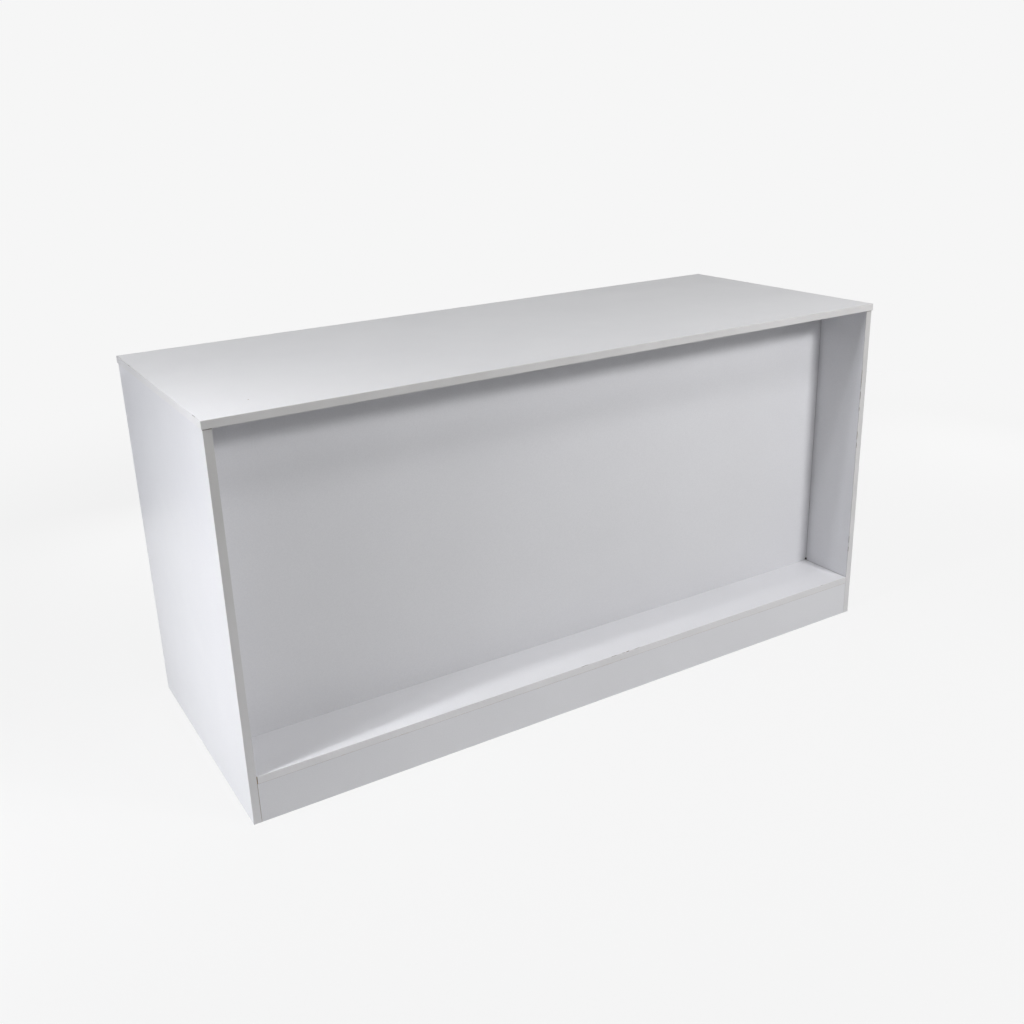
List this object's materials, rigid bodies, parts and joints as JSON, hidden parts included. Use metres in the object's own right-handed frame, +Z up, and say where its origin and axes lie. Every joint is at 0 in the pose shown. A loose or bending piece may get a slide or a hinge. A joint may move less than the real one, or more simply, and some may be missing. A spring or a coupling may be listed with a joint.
{
  "type": "retail counter",
  "caption": "Long shop counter: flat worktop on full-height sides, a recessed customer panel above a ledge and kickboard, and open bays with adjustable shelves on the staff side.",
  "frame": {"origin": "on the floor, under the middle of the worktop", "axes": "+Z up; X along the counter's length, with the left end at -X seen by the customer; the customer side faces -Y and the staff side +Y"},
  "size_m": [1.8, 0.7, 0.9],
  "materials": {
    "melamine_board": "particle board faced with satin white melamine",
    "edge_tape": "satin off-white edge banding",
    "cam_zinc": "die-cast zinc",
    "bolt_steel": "bright zinc plated",
    "cap_plastic": "moulded white",
    "beech": "plain fluted beech",
    "pin_steel": "nickel plated"
  },
  "bodies": {
    "root": {"top_panel": "melamine_board", "left_side_panel": "melamine_board", "right_side_panel": "melamine_board", "front_panel": "melamine_board", "bottom_panel": "melamine_board", "centre_divider": "melamine_board", "front_kickboard": "melamine_board", "rear_kickboard": "melamine_board", "base_cross_rail": "melamine_board", "left_shelf": "melamine_board", "right_shelf": "melamine_board", "top_front_edging": "edge_tape", "top_rear_edging": "edge_tape", "top_left_edging": "edge_tape", "top_right_edging": "edge_tape", "left_side_front_edging": "edge_tape", "left_side_rear_edging": "edge_tape", "right_side_front_edging": "edge_tape", "right_side_rear_edging": "edge_tape", "bottom_front_edging": "edge_tape", "bottom_rear_edging": "edge_tape", "divider_rear_edging": "edge_tape", "left_shelf_edging": "edge_tape", "right_shelf_edging": "edge_tape", "cam_housings": "cam_zinc", "cam_bolts": "bolt_steel", "cam_caps": "cap_plastic", "dowels": "beech", "shelf_pins": "pin_steel"}
  },
  "joints": []
}
